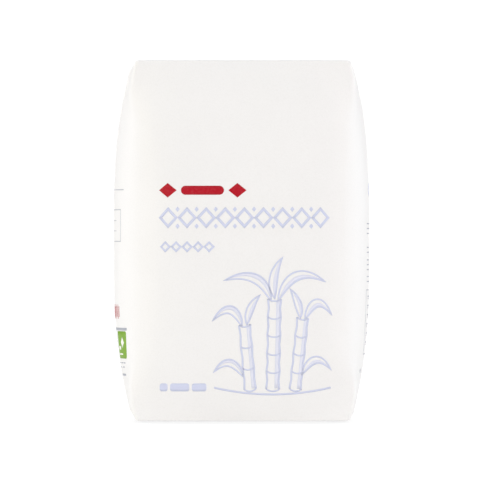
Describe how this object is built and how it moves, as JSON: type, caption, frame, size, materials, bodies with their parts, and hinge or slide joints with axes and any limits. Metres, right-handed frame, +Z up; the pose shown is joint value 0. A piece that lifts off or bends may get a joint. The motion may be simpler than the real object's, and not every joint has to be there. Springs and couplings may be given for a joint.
{
  "type": "sugar packet",
  "caption": "Shut block-shaped white paper packet of sugar, standing upright, with parcel-folded flat ends and swollen panels.",
  "frame": {"origin": "middle of the underside, on the surface that the packet stands on", "axes": "+Z up along the height, the printed front faces -Y, +X to the right as seen from the front"},
  "size_m": [0.1106, 0.0783, 0.155],
  "materials": {
    "paper": "white uncoated paper with a faint sheen, printed in pale lilac, red, green and grey"
  },
  "bodies": {
    "root": {"sugar_bag": "paper"}
  },
  "joints": []
}
